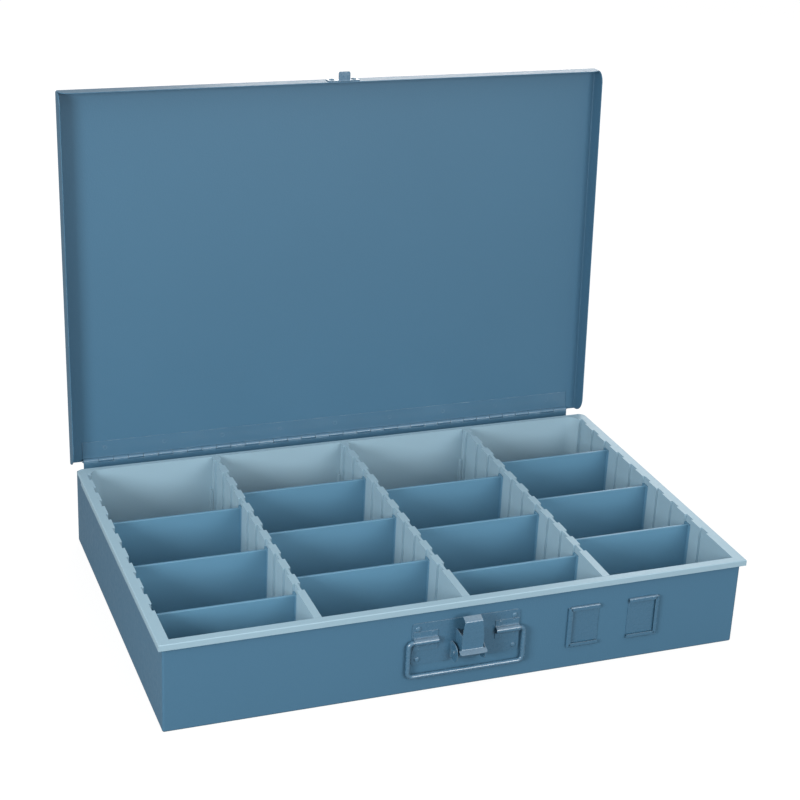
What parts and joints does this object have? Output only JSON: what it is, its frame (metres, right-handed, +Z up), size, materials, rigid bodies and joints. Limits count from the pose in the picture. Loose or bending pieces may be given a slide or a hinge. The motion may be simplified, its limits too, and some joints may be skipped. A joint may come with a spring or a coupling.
{
  "type": "compartment storage box",
  "caption": "Shallow steel case with a hinged lid, front latch and bail handle, holding a lift-out plastic insert with slotted partitions and removable cross dividers.",
  "frame": {"origin": "centre of the flat underside of the steel case", "axes": "+X along the case to the right seen from the front, +Y from the front wall to the hinge, +Z up"},
  "size_m": [0.4662, 0.3458, 0.3912],
  "materials": {
    "case_paint": "semi-gloss enamel",
    "fitting_paint": "semi-gloss enamel over bright plating",
    "hinge_steel": "thinly painted steel",
    "bright_steel": "painted steel wire",
    "rivet_steel": "painted over",
    "spring_steel": "drawn wire",
    "insert_plastic": "moulded satin",
    "divider_plastic": "moulded satin"
  },
  "bodies": {
    "base": {"base_tray": "case_paint", "catch_plate": "fitting_paint", "plate_rivets": "rivet_steel", "hinge_leaf_base": "hinge_steel", "hinge_rivets": "rivet_steel", "hinge_pin": "bright_steel", "latch_pin": "bright_steel", "latch_spring": "spring_steel", "bail_strap_left": "fitting_paint", "bail_strap_right": "fitting_paint", "card_clip_left": "fitting_paint", "card_clip_right": "fitting_paint"},
    "lid": {"lid_pan": "case_paint", "lid_keeper": "fitting_paint", "keeper_rivets": "rivet_steel", "hinge_leaf_lid": "hinge_steel"},
    "latch_lever": {"latch_lever": "fitting_paint"},
    "bail": {"bail_handle": "bright_steel"},
    "insert": {"insert_tray": "insert_plastic", "long_partition_1": "insert_plastic", "long_partition_2": "insert_plastic", "long_partition_3": "insert_plastic"},
    "cross_divider_1a": {"cross_divider_1a": "divider_plastic"},
    "cross_divider_1b": {"cross_divider_1b": "divider_plastic"},
    "cross_divider_1c": {"cross_divider_1c": "divider_plastic"},
    "cross_divider_2a": {"cross_divider_2a": "divider_plastic"},
    "cross_divider_2b": {"cross_divider_2b": "divider_plastic"},
    "cross_divider_2c": {"cross_divider_2c": "divider_plastic"},
    "cross_divider_3a": {"cross_divider_3a": "divider_plastic"},
    "cross_divider_3b": {"cross_divider_3b": "divider_plastic"},
    "cross_divider_3c": {"cross_divider_3c": "divider_plastic"},
    "cross_divider_4a": {"cross_divider_4a": "divider_plastic"},
    "cross_divider_4b": {"cross_divider_4b": "divider_plastic"},
    "cross_divider_4c": {"cross_divider_4c": "divider_plastic"}
  },
  "joints": [
    {"name": "lid_hinge", "type": "hinge", "parent": "base", "child": "lid", "pos_m": [0, 0.1547, 0.0713], "axis": [-1, 0, 0], "range_deg": [-93.2, 0]},
    {"name": "latch_pivot", "type": "hinge", "parent": "base", "child": "latch_lever", "pos_m": [0, -0.1584, 0.033], "axis": [1, 0, 0], "range_deg": [0, 25], "stiffness_Nm_per_rad": 0.05, "springref_deg": -28.65},
    {"name": "bail_pivot", "type": "hinge", "parent": "base", "child": "bail", "pos_m": [0, -0.1551, 0.044], "axis": [-1, 0, 0], "range_deg": [0, 100]},
    {"name": "insert_lift", "type": "slide", "parent": "base", "child": "insert", "axis": [0, 0, 1], "range_m": [0, 0.08]},
    {"name": "divider_lift_1a", "type": "slide", "parent": "insert", "child": "cross_divider_1a", "axis": [0, 0, 1], "range_m": [0, 0.08]},
    {"name": "divider_lift_1b", "type": "slide", "parent": "insert", "child": "cross_divider_1b", "axis": [0, 0, 1], "range_m": [0, 0.08]},
    {"name": "divider_lift_1c", "type": "slide", "parent": "insert", "child": "cross_divider_1c", "axis": [0, 0, 1], "range_m": [0, 0.08]},
    {"name": "divider_lift_2a", "type": "slide", "parent": "insert", "child": "cross_divider_2a", "axis": [0, 0, 1], "range_m": [0, 0.08]},
    {"name": "divider_lift_2b", "type": "slide", "parent": "insert", "child": "cross_divider_2b", "axis": [0, 0, 1], "range_m": [0, 0.08]},
    {"name": "divider_lift_2c", "type": "slide", "parent": "insert", "child": "cross_divider_2c", "axis": [0, 0, 1], "range_m": [0, 0.08]},
    {"name": "divider_lift_3a", "type": "slide", "parent": "insert", "child": "cross_divider_3a", "axis": [0, 0, 1], "range_m": [0, 0.08]},
    {"name": "divider_lift_3b", "type": "slide", "parent": "insert", "child": "cross_divider_3b", "axis": [0, 0, 1], "range_m": [0, 0.08]},
    {"name": "divider_lift_3c", "type": "slide", "parent": "insert", "child": "cross_divider_3c", "axis": [0, 0, 1], "range_m": [0, 0.08]},
    {"name": "divider_lift_4a", "type": "slide", "parent": "insert", "child": "cross_divider_4a", "axis": [0, 0, 1], "range_m": [0, 0.08]},
    {"name": "divider_lift_4b", "type": "slide", "parent": "insert", "child": "cross_divider_4b", "axis": [0, 0, 1], "range_m": [0, 0.08]},
    {"name": "divider_lift_4c", "type": "slide", "parent": "insert", "child": "cross_divider_4c", "axis": [0, 0, 1], "range_m": [0, 0.08]}
  ]
}
